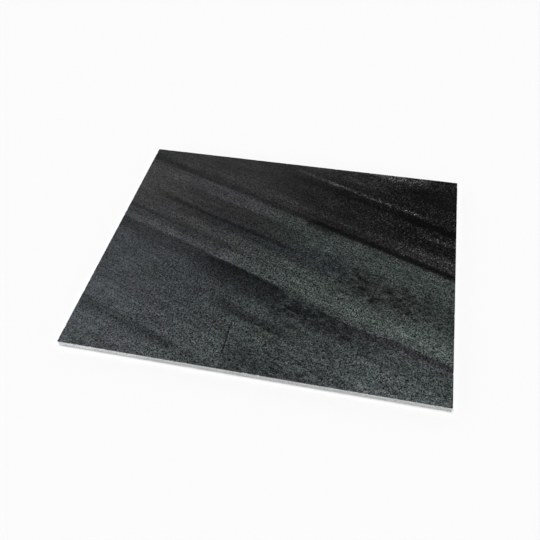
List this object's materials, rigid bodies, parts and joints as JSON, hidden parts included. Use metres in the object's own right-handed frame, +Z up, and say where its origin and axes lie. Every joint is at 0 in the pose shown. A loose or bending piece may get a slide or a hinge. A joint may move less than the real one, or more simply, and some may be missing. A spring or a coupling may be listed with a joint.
{
  "type": "granite work slab",
  "caption": "Thin flat rectangular dark granite slab with flowing pale bands, pale sawn edges and a glass-net reinforced back, for skiving and tooling leather on.",
  "frame": {"origin": "centre of the underside, on the surface that the slab lies on", "axes": "+X along the slab's long side, +Y across it towards the back edge, +Z up out of the working face"},
  "size_m": [0.305, 0.25, 0.005],
  "materials": {
    "granite": "honed fine-grained black granite on the working face, sawn pale grey on the sides",
    "backing_resin": "cured polyester resin, milky and slightly uneven",
    "glass_yarn": "flat white glass-fibre yarn soaked in resin"
  },
  "bodies": {
    "root": {"granite_plate": "granite", "bond_coat": "backing_resin", "net_weft_yarns": "glass_yarn", "net_warp_yarns": "glass_yarn", "seal_coat": "backing_resin"}
  },
  "joints": []
}
